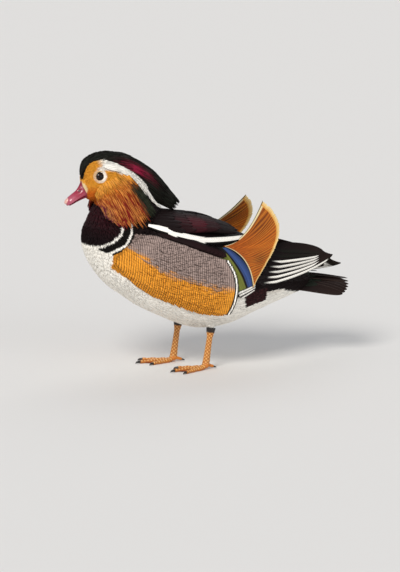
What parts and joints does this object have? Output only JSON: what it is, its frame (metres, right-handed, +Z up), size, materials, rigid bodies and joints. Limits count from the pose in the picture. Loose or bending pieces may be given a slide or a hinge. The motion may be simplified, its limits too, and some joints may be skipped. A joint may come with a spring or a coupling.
{
  "type": "mandarin duck drake figure",
  "caption": "Life-size standing drake with a swept crest, cheek ruff, raised wing sails, folded wings, wedge tail and webbed feet.",
  "frame": {"origin": "centre of the whole bird's box, at the level of the soles", "axes": "+X to the bird's left, +Y from bill to tail, +Z up"},
  "size_m": [0.1504, 0.3796, 0.2774],
  "materials": {
    "body_feathers": "matt plumage, maroon breast over white belly",
    "face_feathers": "short soft plumage, golden",
    "crest_feathers": "glossy green-black and crimson plumage",
    "ruff_feathers": "long narrow orange hackles",
    "dark_feathers": "stiff dark vanes with white edges",
    "flank_feathers": "finely barred gold and grey plumage",
    "wing_feathers": "iridescent blue and green vanes",
    "sail_feathers": "broad orange vanes with a pale rim",
    "white_feathers": "soft white plumage",
    "bill": "smooth horn, satin",
    "bill_nail": "pale horn, satin",
    "eye": "wet, glossy",
    "leg_skin": "scaled skin, satin",
    "claw": "dark horn, satin"
  },
  "bodies": {
    "root": {"bill_lower": "bill", "bill_nail": "bill_nail", "bill_upper": "bill", "brow_left": "white_feathers", "brow_right": "white_feathers", "claw_left_hind": "claw", "claw_left_inner": "claw", "claw_left_middle": "claw", "claw_left_outer": "claw", "claw_right_hind": "claw", "claw_right_inner": "claw", "claw_right_middle": "claw", "claw_right_outer": "claw", "crest": "crest_feathers", "eye_left": "eye", "eye_right": "eye", "flank_left": "flank_feathers", "flank_right": "flank_feathers", "foot_left": "leg_skin", "foot_right": "leg_skin", "head": "face_feathers", "neck": "body_feathers", "primaries_left": "dark_feathers", "primaries_right": "dark_feathers", "ruff_left": "ruff_feathers", "ruff_right": "ruff_feathers", "sail_left": "sail_feathers", "sail_right": "sail_feathers", "scapulars_left": "dark_feathers", "scapulars_right": "dark_feathers", "tail": "dark_feathers", "tarsus_left": "leg_skin", "tarsus_right": "leg_skin", "thigh_left": "white_feathers", "thigh_right": "white_feathers", "torso": "body_feathers", "wing_left": "wing_feathers", "wing_right": "wing_feathers"}
  },
  "joints": []
}
